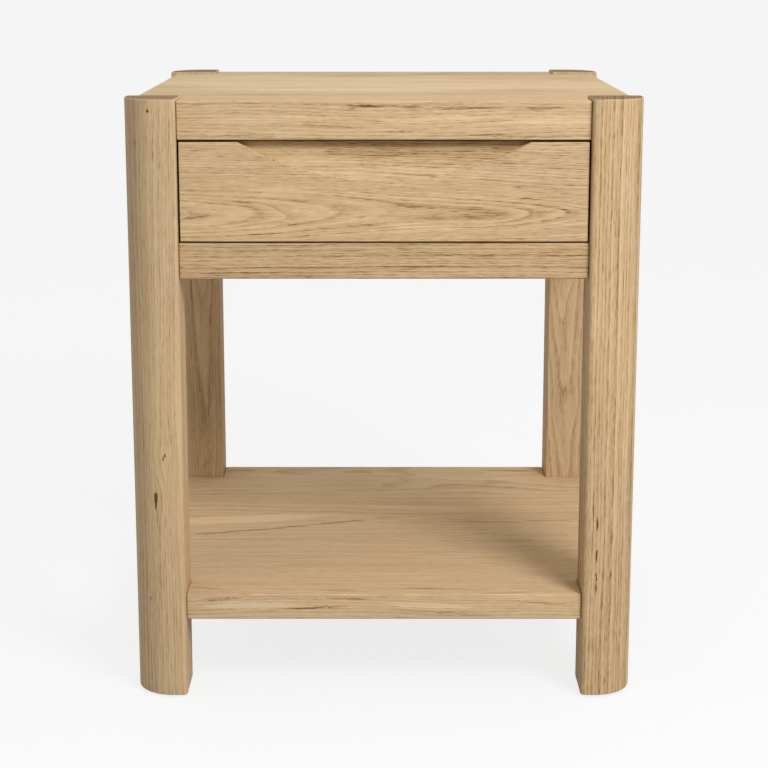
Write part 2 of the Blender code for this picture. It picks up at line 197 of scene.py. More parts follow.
def figure_group():
    """Wood as a solid: growth rings round a heart that runs along Z, with pores and fibres."""
    tree = bpy.data.node_groups.new("wood figure", "ShaderNodeTree")
    sockets = tree.interface
    sockets.new_socket("Place", in_out="INPUT", socket_type="NodeSocketVector")
    for name in ("Ring", "Wave", "Rings", "Fibres", "Tone", "Seed"):
        sockets.new_socket(name, in_out="INPUT", socket_type="NodeSocketFloat")
    for name in ("Shade", "Height", "Cloud"):
        sockets.new_socket(name, in_out="OUTPUT", socket_type="NodeSocketFloat")
    given = tree.nodes.new("NodeGroupInput").outputs
    result = tree.nodes.new("NodeGroupOutput")
    place, seed = given["Place"], given["Seed"]
    # Each board comes from its own part of the tree.
    apart = node(tree, "CombineXYZ", {0: 1.7, 1: 2.3, 2: 3.1}).outputs[0]
    shifted = vectors(tree, "ADD", place, scaled(tree, apart, seed))

    # The trunk isn't straight: its rings wander slowly, and ripple a little on the way.
    wander = centred_colour(tree, noise(tree, shifted, WANDER, 3.0, "Color", 0.45))
    ripple = centred_colour(tree, noise(tree, shifted, RIPPLE, 2.0, "Color"))
    wander = vectors(tree, "ADD", wander, scaled(tree, ripple, RIPPLE_SHARE))
    drift = scaled(tree, vectors(tree, "MULTIPLY", wander, (1.0, 1.0, 0.0)), given["Wave"])
    flowing = vectors(tree, "ADD", place, drift)
    along = vectors(tree, "ADD", shifted, drift)

    # A ring starts with a dark band of open pores and ends in plain dense wood. No two rings
    # are equally wide or equally dark.
    radius = vectors(tree, "LENGTH", vectors(tree, "MULTIPLY", flowing, (1.0, 1.0, 0.0)))
    turns = sums(tree, "DIVIDE", radius, given["Ring"])
    inputs = {"W": sums(tree, "ADD", turns, seed), "Scale": RING_WIDTH_PACE, "Detail": 1.0}
    uneven = node(tree, "TexNoise", inputs, noise_dimensions="1D")
    turns = sums(tree, "MULTIPLY_ADD", uneven.outputs["Fac"], RING_WIDTH_CHANGE, turns)
    part = sums(tree, "FRACT", turns)
    count = sums(tree, "ADD", sums(tree, "FLOOR", turns), seed)
    luck = node(tree, "TexWhiteNoise", {"W": count}, noise_dimensions="1D").outputs["Value"]
    early = sums(tree, "POWER", sums(tree, "SUBTRACT", 1.0, part), PORE_BAND_FALL)
    early = sums(tree, "MULTIPLY", early, step(tree, part, 0.0, PORE_BAND_START))
    luck = sums(tree, "MULTIPLY_ADD", luck, BAND_LUCK, BAND_LEAST)
    early = sums(tree, "MULTIPLY", early, luck)
    dashes = step(tree, noise(tree, along, PORE_DASHES, 2.0), *DASH_EDGE)
    dashes = sums(tree, "MULTIPLY_ADD", dashes, DASH_SHARE, UNBROKEN_SHARE)
    broken = sums(tree, "MULTIPLY", early, dashes)

    # Fibres and pores run between the rings, from single hairs up to broad pale and dark clouds.
    hair = centred(tree, noise(tree, along, HAIRS, 1.0))
    fibre = centred(tree, noise(tree, along, FIBRES, 2.0, roughness=0.6))
    streak = centred(tree, noise(tree, along, STREAKS, 2.0))
    cloud = centred(tree, noise(tree, along, CLOUDS, 1.0))
    pore = step(tree, noise(tree, along, LONE_PORES, 0.0), *LONE_PORE_EDGE)
    crowd = sums(tree, "MULTIPLY_ADD", early, PORES_IN_BAND, PORES_ELSEWHERE)
    pore = sums(tree, "MULTIPLY", pore, crowd)

    # Each part is weighed, and together they say how dark the wood is and how high it stands.
    late = step(tree, part, *LATE_WOOD)
    rings = layered(tree, ((broken, 0.66), (late, -0.13)), -0.06)
    finer = ((hair, 0.62), (fibre, 0.60), (streak, 0.44), (cloud, 0.30), (pore, 0.38))
    fibres = layered(tree, finer, -0.02)
    shade = sums(tree, "MULTIPLY_ADD", rings, given["Rings"], given["Tone"])
    shade = sums(tree, "MULTIPLY_ADD", fibres, given["Fibres"], shade)
    height = layered(tree, ((broken, 0.35), (fibre, 0.30), (hair, 0.25)), pore)
    tree.links.new(shade, result.inputs["Shade"])
    tree.links.new(cloud, result.inputs["Cloud"])
    tree.links.new(sums(tree, "SUBTRACT", 1.0, height), result.inputs["Height"])
    return tree


FIGURE = figure_group()
OAK_TONES = (
    (0.00, tone("dcc19b")),
    (0.25, tone("d0b38b")),
    (0.45, tone("c4a780")),
    (0.65, tone("b4946c")),
    (0.82, tone("9c7b55")),
    (1.00, tone("6c4c2b")),
)
END_GRAIN = (0.485, 0.450, 0.435, 1.0)
GRAIN_TURNS = {
    "X": (0.0, math.radians(-90), 0.0),
    "Y": (math.radians(90), 0.0, 0.0),
    "Z": (0.0, 0.0, 0.0),
}
GRAIN_LINES = {"X": (1, 0, 0), "Y": (0, 1, 0), "Z": (0, 0, 1)}
KNOT_STRETCH = 2.4


def parted_by_knots(tree, place, line, knots):
    """Grain bends round each knot, further along the board than across it.

    A knot is its middle, how far it reaches, and how hard it pushes the grain aside.
    """
    for spot, reach, push in knots:
        away = vectors(tree, "SUBTRACT", place, spot)
        shrink = tuple(1 / (reach * (KNOT_STRETCH if a else 1.0)) for a in line)
        far = vectors(tree, "LENGTH", vectors(tree, "MULTIPLY", away, shrink))
        fade = sums(tree, "MULTIPLY", sums(tree, "POWER", far, 2.0), -1.0)
        fade = sums(tree, "EXPONENT", fade)
        across = vectors(tree, "MULTIPLY", away, tuple(1.0 - a for a in line))
        place = vectors(tree, "SUBTRACT", place, scaled(tree, scaled(tree, across, fade), push))
    return place


MARK_WAVER = (170.0, 170.0, 170.0)
MARK_WAVER_REACH = 0.0034
MARK_RAGGED_PACE = 0.6
MARK_RAGGED_REACH = 2.0
MARK_SOFT_EDGE = (1.0, 0.40)
MARK_SINK = -2.0


def marked(tree, place, shade, height, marks):
    """Mineral streaks, small checks and the hearts of knots darken the wood where they lie.

    A mark is its middle, half its size, how much it darkens, and sometimes how it leans: an axis
    and an angle in degrees. A mark that darkens by less than nothing is a pale patch. A few broad
    marks are painted shade or painted light rather than marks in the wood.
    """
    waver = centred_colour(tree, noise(tree, place, MARK_WAVER, 2.0, "Color"))
    bent = vectors(tree, "ADD", place, scaled(tree, waver, MARK_WAVER_REACH))
    for spot, half_size, strength, *lean in marks:
        off = vectors(tree, "SUBTRACT", bent, spot)
        for axis, degrees in lean:
            inputs = {"Vector": off, "Angle": math.radians(degrees)}
            off = node(tree, "VectorRotate", inputs, rotation_type=axis + "_AXIS").outputs[0]
        off = vectors(tree, "LENGTH", vectors(tree, "DIVIDE", off, half_size))
        ragged = noise(tree, place, tuple(MARK_RAGGED_PACE / h for h in half_size), 3.0)
        far = sums(tree, "MULTIPLY_ADD", centred(tree, ragged), MARK_RAGGED_REACH, off)
        mask = step(tree, far, *MARK_SOFT_EDGE)
        shade = sums(tree, "MULTIPLY_ADD", mask, strength, shade)
        height = sums(tree, "MULTIPLY_ADD", mask, MARK_SINK * strength**2, height)
    return shade, height


CLOUD_WARM_TO_COOL = (-0.22, 0.22)
WARM_TINT = (1.0, 0.988, 0.95, 1.0)
COOL_TINT = (0.985, 1.0, 1.03, 1.0)
END_GRAIN_TURN = (0.75, 0.97)
WOOD_ROUGHNESS = 0.54
DARK_WOOD_ROUGHNESS = 0.20
END_GRAIN_ROUGHNESS = 0.15
WOOD_GLOSS = 0.07
WOOD_RELIEF = 0.45
WOOD_RELIEF_DEPTH = 0.00025


def wood(
    name,
    grain,
    pith,
    ring=0.003,
    wave=0.02,
    rings=1.0,
    fibres=1.0,
    base=0.40,
    tilt=(0.0, 0.0),
    marks=(),
    knots=(),
    tones=OAK_TONES,
    end=END_GRAIN,
):
    """One board's own wood, cut from its own place in a tree.

    `grain` is the axis that its fibres follow, `pith` is where the tree's heart lay, and `tilt`
    is how far the board was sawn off the heart's line. `ring` is how wide a year's growth is and
    `wave` how far it wanders. `rings` and `fibres` are how strongly each shows, and `base` is
    how dark the wood is.
    """
    made = bpy.data.materials.new(name)
    made.use_nodes = True
    tree = made.node_tree
    shader = tree.nodes["Principled BSDF"]
    coords = node(tree, "TexCoord").outputs
    line = GRAIN_LINES[grain]
    parted = parted_by_knots(tree, coords["Object"], line, knots)
    turned = vectors(tree, "SUBTRACT", parted, pith)
    for turn in (GRAIN_TURNS[grain], (*tilt, 0.0)):
        inputs = {"Vector": turned, "Rotation": turn}
        turned = node(tree, "VectorRotate", inputs, rotation_type="EULER_XYZ").outputs[0]
    seed = sum(ord(c) * (i + 3) for i, c in enumerate(name)) % 97 / 7
    figure = node(tree, "Group", node_tree=FIGURE)
    given = {"Place": turned, "Ring": ring, "Wave": wave, "Rings": rings, "Fibres": fibres}
    for key, value in {**given, "Tone": base, "Seed": seed}.items():
        socket_in(tree, figure, key, value)
    shade, height = figure.outputs["Shade"], figure.outputs["Height"]
    if marks:
        shade, height = marked(tree, coords["Object"], shade, height, marks)
    shade = sums(tree, "ADD", shade, 0.0, clamp=True)
    colour = ramp(tree, shade, tones)
    # The colour drifts a little between warm and cool along the board.
    drift = step(tree, figure.outputs["Cloud"], *CLOUD_WARM_TO_COOL)
    tint = ramp(tree, drift, ((0.0, WARM_TINT), (1.0, COOL_TINT)))
    colour = multiplied(tree, colour, tint)
    # Cut across, the same fibres read darker and greyer.
    facing = sums(tree, "ABSOLUTE", vectors(tree, "DOT_PRODUCT", coords["Normal"], line))
    across = step(tree, facing, *END_GRAIN_TURN)
    colour = multiplied(tree, colour, end, across)
    tree.links.new(colour, shader.inputs["Base Color"])
    roughness = sums(tree, "MULTIPLY_ADD", shade, DARK_WOOD_ROUGHNESS, WOOD_ROUGHNESS)
    roughness = sums(tree, "MULTIPLY_ADD", across, END_GRAIN_ROUGHNESS, roughness)
    tree.links.new(roughness, shader.inputs["Roughness"])
    shader.inputs["Specular IOR Level"].default_value = WOOD_GLOSS
    relief = {"Height": height, "Strength": WOOD_RELIEF, "Distance": WOOD_RELIEF_DEPTH}
    bump = node(tree, "Bump", relief)
    tree.links.new(bump.outputs[0], shader.inputs["Normal"])
    return made


def arc(centre, radius, start, steps):
    """A quarter turn of points."""
    angles = [start + math.pi / 2 * i / steps for i in range(steps + 1)]
    return [(centre[0] + radius * math.cos(a), centre[1] + radius * math.sin(a)) for a in angles]


def prism(outline, low, high):
    """A solid of one section, standing from one level to another."""
    bm = bmesh.new()
    rows = [[bm.verts.new((x, y, level)) for x, y in outline] for level in (low, high)]
    bm.faces.new(rows[0])
    bm.faces.new(rows[1][::-1])
    for i in range(len(outline)):
        j = (i + 1) % len(outline)
        bm.faces.new((rows[0][j], rows[0][i], rows[1][i], rows[1][j]))
    bmesh.ops.recalc_face_normals(bm, faces=bm.faces)
    return bm


SHARP_TURN = math.radians(60)
ARRIS_STEPS = 4


def wooden(name, bm, stands_for, material, ease):
    """One wooden piece with its arrises eased, in place of its plain solid."""
    layer = bm.edges.layers.float.new("bevel_weight_edge")
    for edge in bm.edges:
        if edge.calc_face_angle_signed(0.0) > SHARP_TURN:
            edge[layer] = 1.0
    mesh = bpy.data.meshes.new(name)
    bm.to_mesh(mesh)
    bm.free()
    mesh.shade_smooth()
    piece = bpy.data.objects.new(name, mesh)
    bpy.context.scene.collection.objects.link(piece)
    bevel = piece.modifiers.new("eased arris", "BEVEL")
    bevel.limit_method = "WEIGHT"
    bevel.width = ease
    bevel.segments = ARRIS_STEPS
    bevel.harden_normals = True
    piece.modifiers.new("even shading", "WEIGHTED_NORMAL").keep_sharp = True
    mesh.materials.append(material)
    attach(piece, frame["nodes"][stands_for]["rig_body"])
    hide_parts(stands_for)


POST_RADIUS = 0.038
POST_FRONT_RADIUS = 0.0045
POST_BACK_RADIUS = 0.002
POST_ROUND_STEPS = 48
POST_FRONT_STEPS = 10
POST_BACK_STEPS = 6
POST_EASE = 0.0015
POST_FACE = -0.2413


def post_outline(low, high):
    """The section from above, drawn for the corner at +X +Y, then mirrored to its own corner."""
    side_x, side_y = math.copysign(1, high.x), math.copysign(1, high.y)
    out_x, out_y = max(abs(low.x), abs(high.x)), max(abs(low.y), abs(high.y))
    in_x, in_y = min(abs(low.x), abs(high.x)), min(abs(low.y), abs(high.y))
    turn = math.pi / 2
    r = POST_RADIUS
    points = arc((out_x - r, out_y - r), r, 0, POST_ROUND_STEPS)
    r = POST_FRONT_RADIUS
    points += arc((in_x + r, out_y - r), r, turn, POST_FRONT_STEPS)
    r = POST_BACK_RADIUS
    points += arc((in_x + r, in_y + r), r, 2 * turn, POST_BACK_STEPS)
    points += arc((out_x - r, in_y + r), r, 3 * turn, POST_BACK_STEPS)
    return [(x * side_x, y * side_y) for x, y in points]


# The left front post was sawn near the heart, with two knots low down and a small one at its
# head. The right one shows straight quarter-sawn grain, with four short checks in a line.
POSTS = {
    "post_front_left": dict(
        pith=(-0.1650, -0.2220, 0.0), tilt=(0.010, 0.006), ring=0.0036, wave=0.014,
        base=0.39, rings=0.60, fibres=0.80,
        knots=[
            ((-0.2284, POST_FACE, 0.2098), 0.010, 0.72),
            ((-0.2190, POST_FACE, 0.2560), 0.011, 0.85),
            ((-0.2273, POST_FACE, 0.5974), 0.005, 0.60),
        ],
        marks=[
            ((-0.2284, POST_FACE, 0.2110), (0.0024, 0.03, 0.0072), 0.95),
            ((-0.2288, POST_FACE, 0.2030), (0.0014, 0.03, 0.0062), 0.65),
            ((-0.2290, POST_FACE, 0.1940), (0.0030, 0.03, 0.0090), 0.12),
            ((-0.2202, POST_FACE, 0.2525), (0.0012, 0.03, 0.0050), 0.70),
            ((-0.2182, POST_FACE, 0.2562), (0.0012, 0.03, 0.0022), 0.70),
            ((-0.2273, POST_FACE, 0.5974), (0.0014, 0.03, 0.0024), 0.90),
            ((-0.2430, -0.2360, 0.4422), (0.0016, 0.03, 0.0070), 0.26),
            ((-0.2367, -0.2380, 0.1045), (0.0016, 0.03, 0.0024), 0.35),
        ],
    ),
    "post_front_right": dict(
        pith=(0.66, -0.30, 0.0), ring=0.0046, wave=0.012,
        base=0.52, rings=0.95, fibres=1.00,
        marks=[
            ((0.2143, POST_FACE, 0.1830), (0.0011, 0.03, 0.0085), 0.75),
            ((0.2142, POST_FACE, 0.1506), (0.0014, 0.03, 0.0070), 0.80),
            ((0.2145, POST_FACE, 0.1290), (0.0013, 0.03, 0.0080), 0.80),
            ((0.2141, POST_FACE, 0.1185), (0.0014, 0.03, 0.0060), 0.75),
        ],
    ),
    "post_rear_left": dict(
        pith=(-0.222, 0.155, 0.0), tilt=(0.03, 0.01), ring=0.0028,
        base=0.43, rings=0.75, fibres=0.8,
    ),
    "post_rear_right": dict(
        pith=(0.226, 0.150, 0.0), tilt=(0.02, 0.01), ring=0.0028,
        base=0.41, rings=0.70, fibres=0.8,
        knots=[((0.2273, 0.1883, 0.2040), 0.014, 0.9)],
    ),
}
for name, given in POSTS.items():
    low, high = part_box(name)
    length = prism(post_outline(low, high), low.z, high.z)
    post_oak = wood("oak " + name.replace("_", " "), "Z", **given)
    wooden(name + "_oak", length, name, post_oak, POST_EASE)

# Floor glides. A moulded nylon disc is pressed under each post, to keep the end grain off the
# floor. The nylon is off-white, matt from the mould, and scuffed where it slides.
MOTTLE = (60.0, 60.0, 60.0)
WEAR = (130.0, 130.0, 130.0)
WEAR_SHOWS = (0.56, 0.74)
FINISH_RELIEF = 0.4
FINISH_RELIEF_DEPTH = 0.00005


def flecked(name, colours, stretch, rough, metallic=0.0):
    """A plain manufactured finish, with its own slow mottle, fine grain and worn patches."""
    made = bpy.data.materials.new(name)
    made.use_nodes = True
    tree = made.node_tree
    shader = tree.nodes["Principled BSDF"]
    place = node(tree, "TexCoord").outputs["Object"]
    mottle = noise(tree, place, MOTTLE, 3.0)
    grain = noise(tree, place, stretch, 3.0, roughness=0.6)
    worn = step(tree, noise(tree, place, WEAR, 4.0, roughness=0.65), *WEAR_SHOWS)
    shade = layered(tree, ((centred(tree, grain), 0.9), (worn, 0.25)), mottle)
    tree.links.new(ramp(tree, shade, colours), shader.inputs["Base Color"])
    roughness = layered(tree, ((centred(tree, grain), 0.22), (worn, 0.10)), rough)
    tree.links.new(roughness, shader.inputs["Roughness"])
    shader.inputs["Metallic"].default_value = metallic
    relief = {"Height": layered(tree, ((worn, -0.6),), grain), "Strength": FINISH_RELIEF}
    bump = node(tree, "Bump", {**relief, "Distance": FINISH_RELIEF_DEPTH})
    tree.links.new(bump.outputs[0], shader.inputs["Normal"])
    return made


def finished(name, material):
    """A piece whose plain solid is already its true shape keeps it, with its real finish."""
    piece = frame["nodes"][name]
    for place in piece.material_slots:
        place.link = "OBJECT"
        place.material = material
    return piece


NYLON_GRAIN = (900.0, 900.0, 900.0)
NYLON_ROUGHNESS = 0.48
NYLON = ((0.25, tone("d9d6cb")), (0.60, tone("cbc7bb")), (0.95, tone("a9a497")))
glide_nylon = flecked("glide nylon", NYLON, NYLON_GRAIN, NYLON_ROUGHNESS)
for name in sorted(frame["nodes"]):
    if name.startswith("glide_"):
        finished(name, glide_nylon)

# Side panels, back panel and front rail. Planed oak boards fill the case between the posts
# under the top. Their grain runs level, and dowels in their ends hold them to the posts.
BOARD_EASE = 0.0015


def board(name, material):
    """A square-cornered board that fills its plain solid's box."""
    low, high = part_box(name)
    outline = [(low.x, low.y), (high.x, low.y), (high.x, high.y), (low.x, high.y)]
    wooden(name + "_oak", prism(outline, low.z, high.z), name, material, BOARD_EASE)


CASE_BOARDS = {
    "side_panel_left": dict(grain="Y", pith=(-0.205, 0.0, 0.49), ring=0.0026, tilt=(0.015, 0.02)),
    "side_panel_right": dict(grain="Y", pith=(0.200, 0.0, 0.51), ring=0.0026, tilt=(0.015, -0.02)),
    "back_panel": dict(grain="X", pith=(0.0, 0.190, 0.50), ring=0.0027, tilt=(0.02, 0.01)),
    "front_rail": dict(
        grain="X", pith=(0.0, -0.19, 0.80), ring=0.0030, wave=0.012, base=0.54, rings=0.72,
    ),
}
for name, given in CASE_BOARDS.items():
    board(name, wood("oak " + name.replace("_", " "), **given))

# Dowels. Short turned beech pegs, fluted by a press, glue the boards to the posts. Beech is
# pinker and closer in its grain than oak.
BEECH_TONES = (
    (0.00, tone("dcb991")),
    (0.45, tone("cba47a")),
    (0.80, tone("b18559")),
    (1.00, tone("8f6640")),
)
BEECH_END = (0.66, 0.63, 0.62, 1.0)
BEECH_HEART = Vector((0.05, 0.06, 0.04))
for name in sorted(frame["nodes"]):
    if name.startswith("dowel_"):
        low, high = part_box(name)
        size = high - low
        grain = "XYZ"[max(range(3), key=lambda i: size[i])]
        pith = tuple((low + high) / 2 + BEECH_HEART)
        beech = wood(
            "beech " + name.replace("_", " "), grain, pith, ring=0.0012, wave=0.004,
            rings=0.4, fibres=0.7, tones=BEECH_TONES, end=BEECH_END,
        )
        finished(name, beech)

# Runner cleats. A birch batten glued inside each side panel brings its slide out level with
# the posts. Birch is pale, even and straight.
BIRCH_TONES = (
    (0.00, tone("e8d3ac")),
    (0.40, tone("dcc398")),
    (0.70, tone("cbae80")),
    (1.00, tone("a88556")),
)
BIRCH_END = (0.72, 0.69, 0.66, 1.0)
BIRCH_FIGURE = {"ring": 0.0030, "wave": 0.012, "rings": 0.30, "fibres": 0.62, "base": 0.36}
BIRCH_EASE = 0.0006
BIRCH_EASE_STEPS = 2
SKIN_GAP = 0.00001


def eased(piece, width):
    """Takes the sharpness off a plain solid's edges."""
    weld = piece.modifiers.new("one skin", "WELD")
    weld.merge_threshold = SKIN_GAP
    bevel = piece.modifiers.new("eased arris", "BEVEL")
    bevel.limit_method = "ANGLE"
    bevel.angle_limit = SHARP_TURN
    bevel.width = width
    bevel.segments = BIRCH_EASE_STEPS
    bevel.harden_normals = True


def birch(name, grain, pith, **own):
    """A plain birch part that keeps its solid, in its own piece of birch."""
    given = {**BIRCH_FIGURE, "tones": BIRCH_TONES, "end": BIRCH_END, **own}
    material = wood("birch " + name.replace("_", " "), grain, pith, **given)
    eased(finished(name, material), BIRCH_EASE)


birch("runner_cleat_left", "Y", (-0.30, 0.0, 0.60))
birch("runner_cleat_right", "Y", (0.29, 0.0, 0.62))

# Shelf. One thick oak board, notched at its corners so that it passes round the posts, with
# dowels from the notches into them. Its front edge lines up with the rail's.
NOTCH_GAP = 0.0003
SHELF_FACE = 0.1086
BOARD_FRONT = -0.2343


def notched_board(name, material):
    """A board with a square notch at each corner for a post."""
    low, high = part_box(name)
    post_low, post_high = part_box("post_front_right")
    notch_x, notch_y = post_low.x - NOTCH_GAP, -post_high.y - NOTCH_GAP
    quarter = [(notch_x, high.y), (notch_x, notch_y), (high.x, notch_y)]
    points = [(x, -y) for x, y in quarter]
    points += [(x, y) for x, y in quarter[::-1]]
    points += [(-x, y) for x, y in quarter]
    points += [(-x, -y) for x, y in quarter[::-1]]
    wooden(name + "_oak", prism(points, low.z, high.z), name, material, BOARD_EASE)


SHELF_MARKS_AND_PAINTED_LIGHT = [
    # The first mark is painted light: the back of the shelf, shaded under the case, is made paler.
    ((-0.0500, 0.1600, SHELF_FACE), (0.190, 0.0750, 0.0040), -0.16),
    ((-0.1600, -0.0280, SHELF_FACE), (0.066, 0.0036, 0.0040), 0.44, ("Z", -14)),
    ((-0.0600, 0.0010, SHELF_FACE), (0.080, 0.0036, 0.0040), 0.40, ("Z", -17)),
    ((-0.1500, 0.0200, SHELF_FACE), (0.110, 0.0170, 0.0040), -0.42, ("Z", -9)),
    ((-0.0300, 0.0450, SHELF_FACE), (0.090, 0.0040, 0.0040), 0.14, ("Z", -4)),
    ((0.0500, 0.0560, SHELF_FACE), (0.085, 0.0120, 0.0040), -0.18),
    ((0.1150, 0.0060, SHELF_FACE), (0.048, 0.0028, 0.0040), 0.28, ("Z", 3)),
    ((0.1900, 0.0110, SHELF_FACE), (0.034, 0.0028, 0.0040), 0.28, ("Z", -4)),
    ((-0.1780, 0.2170, SHELF_FACE), (0.034, 0.0060, 0.0040), 0.26, ("Z", -5)),
    ((0.1600, 0.2160, SHELF_FACE), (0.044, 0.0050, 0.0040), 0.30, ("Z", 6)),
    ((-0.0300, 0.1500, SHELF_FACE), (0.100, 0.0060, 0.0040), 0.12),
    ((-0.1800, -0.2170, SHELF_FACE), (0.028, 0.0034, 0.0040), 0.26, ("Z", 8)),
    ((-0.0300, -0.2250, SHELF_FACE), (0.045, 0.0024, 0.0040), 0.26, ("Z", 4)),
    ((0.0600, -0.2190, SHELF_FACE), (0.050, 0.0026, 0.0040), 0.26, ("Z", 5)),
    ((0.1300, -0.2290, SHELF_FACE), (0.034, 0.0022, 0.0040), 0.24, ("Z", -4)),
    ((-0.1650, BOARD_FRONT, 0.1035), (0.030, 0.0040, 0.0015), 0.40, ("Y", 2)),
    ((-0.1500, BOARD_FRONT, 0.0950), (0.070, 0.0040, 0.0044), -0.40, ("Y", 1)),
    ((-0.0600, BOARD_FRONT, 0.0950), (0.055, 0.0040, 0.0018), 0.42, ("Y", 3)),
    ((0.0600, BOARD_FRONT, 0.0890), (0.040, 0.0040, 0.0016), 0.38, ("Y", -2)),
    ((-0.0350, BOARD_FRONT, 0.1035), (0.034, 0.0040, 0.0014), 0.38, ("Y", -3)),
    ((0.0500, BOARD_FRONT, 0.0965), (0.055, 0.0040, 0.0036), -0.34, ("Y", -2)),
    ((0.1500, BOARD_FRONT, 0.1000), (0.045, 0.0040, 0.0016), 0.36, ("Y", -4)),
]
shelf_oak = wood(
    "oak shelf", "X", (0.0, 0.20, -0.32), ring=0.0024, base=0.34, rings=0.65, fibres=0.80,
    marks=SHELF_MARKS_AND_PAINTED_LIGHT,
)
notched_board("shelf", shelf_oak)

# Case bottom. A sheet of birch plywood closes the case under the drawer. Its faces are plain
# veneer, and its edges show the plies, laid with their grain crossed in turn.
PLY = 0.0015
PLY_END = (0.90, 0.88, 0.86, 1.0)
CROSSED_PLY = tone("a07d56")
CROSSED_PLY_SHADE = 0.35
SEAM_SHADE = 0.45
SEAM_EDGE = (0.40, 0.48)
SHEET_EDGE = (0.3, 0.7)


def plywood(name, grain, underside):
    """A sheet of birch plywood, whose plies are counted up from its underside."""
    material = wood(
        "ply " + name, grain, (0.4, 0.3, underside), ring=0.0060, wave=0.05,
        base=0.34, rings=0.35, fibres=0.55, tones=BIRCH_TONES, end=PLY_END,
    )
    tree = material.node_tree
    shader = tree.nodes["Principled BSDF"]
    coords = node(tree, "TexCoord").outputs
    level = node(tree, "SeparateXYZ", {0: coords["Object"]}).outputs["Z"]
    plies = sums(tree, "DIVIDE", sums(tree, "SUBTRACT", level, underside), PLY)
    crossed = sums(tree, "MODULO", sums(tree, "FLOOR", plies), 2.0)
    off_middle = sums(tree, "ABSOLUTE", centred(tree, sums(tree, "FRACT", plies)))
    seam = step(tree, off_middle, *SEAM_EDGE)
    band = sums(tree, "MULTIPLY", crossed, CROSSED_PLY_SHADE)
    band = layered(tree, ((seam, SEAM_SHADE),), band)
    upright = sums(tree, "ABSOLUTE", vectors(tree, "DOT_PRODUCT", coords["Normal"], (0, 0, 1)))
    edge = sums(tree, "SUBTRACT", 1.0, step(tree, upright, *SHEET_EDGE))
    plain = shader.inputs["Base Color"].links[0].from_socket
    amount = sums(tree, "MULTIPLY", band, edge)
    colour = multiplied(tree, plain, CROSSED_PLY, amount)
    tree.links.new(colour, shader.inputs["Base Color"])
    return material


low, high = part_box("case_bottom")
finished("case_bottom", plywood("case bottom", "X", low.z))

# Top. One thick oak board, notched round the posts as the shelf is. The posts stand a little
# proud of it. Its front edge was sawn so that the figure there is broad and streaked.
TOP_FACE = 0.6074
TOP_MARKS_AND_PAINTED_LIGHT = [
    # The first mark is painted light: the whole top surface is made paler, as if lit more from
    # above.
    ((0.0000, 0.0100, TOP_FACE), (0.320, 0.2350, 0.0040), -0.27),
    ((-0.0100, 0.1500, TOP_FACE), (0.070, 0.0180, 0.0040), 0.26),
    ((0.1200, 0.1750, TOP_FACE), (0.120, 0.0140, 0.0040), 0.18),
    ((-0.1200, 0.0600, TOP_FACE), (0.130, 0.0160, 0.0040), 0.14),
    ((0.0900, 0.0400, TOP_FACE), (0.140, 0.0120, 0.0040), 0.16),
    ((-0.0500, -0.0500, TOP_FACE), (0.160, 0.0120, 0.0040), 0.12),
    ((0.1300, -0.0900, TOP_FACE), (0.110, 0.0110, 0.0040), 0.18),
    ((-0.1300, -0.1500, TOP_FACE), (0.120, 0.0110, 0.0040), 0.14),
    ((-0.0180, BOARD_FRONT, 0.6022), (0.024, 0.0040, 0.0020), 0.34),
    ((-0.0300, BOARD_FRONT, 0.6005), (0.008, 0.0040, 0.0010), 0.45),
    ((0.0250, BOARD_FRONT, 0.6016), (0.030, 0.0040, 0.0016), 0.34, ("Y", -2)),
    ((0.0800, BOARD_FRONT, 0.6008), (0.040, 0.0040, 0.0024), 0.30, ("Y", 1)),
    ((0.1580, BOARD_FRONT, 0.6010), (0.028, 0.0040, 0.0026), 0.30),
    ((0.0500, BOARD_FRONT, 0.5900), (0.070, 0.0040, 0.0036), -0.22, ("Y", 2)),
    ((-0.1100, BOARD_FRONT, 0.5900), (0.080, 0.0040, 0.0034), -0.16, ("Y", 1)),
    ((0.1500, BOARD_FRONT, 0.5880), (0.055, 0.0040, 0.0044), -0.20, ("Y", -3)),
    ((0.1050, BOARD_FRONT, 0.5745), (0.040, 0.0040, 0.0016), 0.32, ("Y", -2)),
    ((0.0200, BOARD_FRONT, 0.5790), (0.040, 0.0040, 0.0016), 0.26, ("Y", 3)),
    ((-0.1400, BOARD_FRONT, 0.5745), (0.034, 0.0040, 0.0014), 0.28, ("Y", 2)),
    ((-0.0500, BOARD_FRONT, 0.5830), (0.040, 0.0040, 0.0014), 0.22, ("Y", -2)),
]
top_oak = wood(
    "oak top", "X", (0.0, 0.25, 0.10), ring=0.0026, base=0.39, rings=0.70, fibres=1.05,
    marks=TOP_MARKS_AND_PAINTED_LIGHT,
)
notched_board("top_panel", top_oak)

# Slides. Two three-part telescopic slides carry the drawer: bright zinc-plated channels,
# rolled lengthwise, so their grain and their scratches run along them.
ZINC_GRAIN = (1500.0, 30.0, 1500.0)
ZINC_ROUGHNESS = 0.34
ZINC = ((0.20, tone("c9ccce")), (0.55, tone("bbbdbf")), (0.95, tone("9c9c9b")))
slide_zinc = flecked("slide zinc", ZINC, ZINC_GRAIN, ZINC_ROUGHNESS, metallic=1.0)
for side in ("left", "right"):
    for member in ("outer", "middle", "inner"):
        finished(f"slide_{member}_{side}", slide_zinc)

# Drawer box. Birch sides, back and sub-front stand round a plywood bottom held in grooves.
# The front and back run across between the sides.
birch("drawer_side_left", "Y", (-0.27, 0.0, 0.40))
birch("drawer_side_right", "Y", (0.26, 0.0, 0.64), base=0.40)
birch("drawer_box_front", "X", (0.0, -0.29, 0.43), base=0.38)
birch("drawer_box_back", "X", (0.0, 0.22, 0.62), base=0.34)
low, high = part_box("drawer_bottom")
finished("drawer_bottom", plywood("drawer bottom", "Y", low.z))

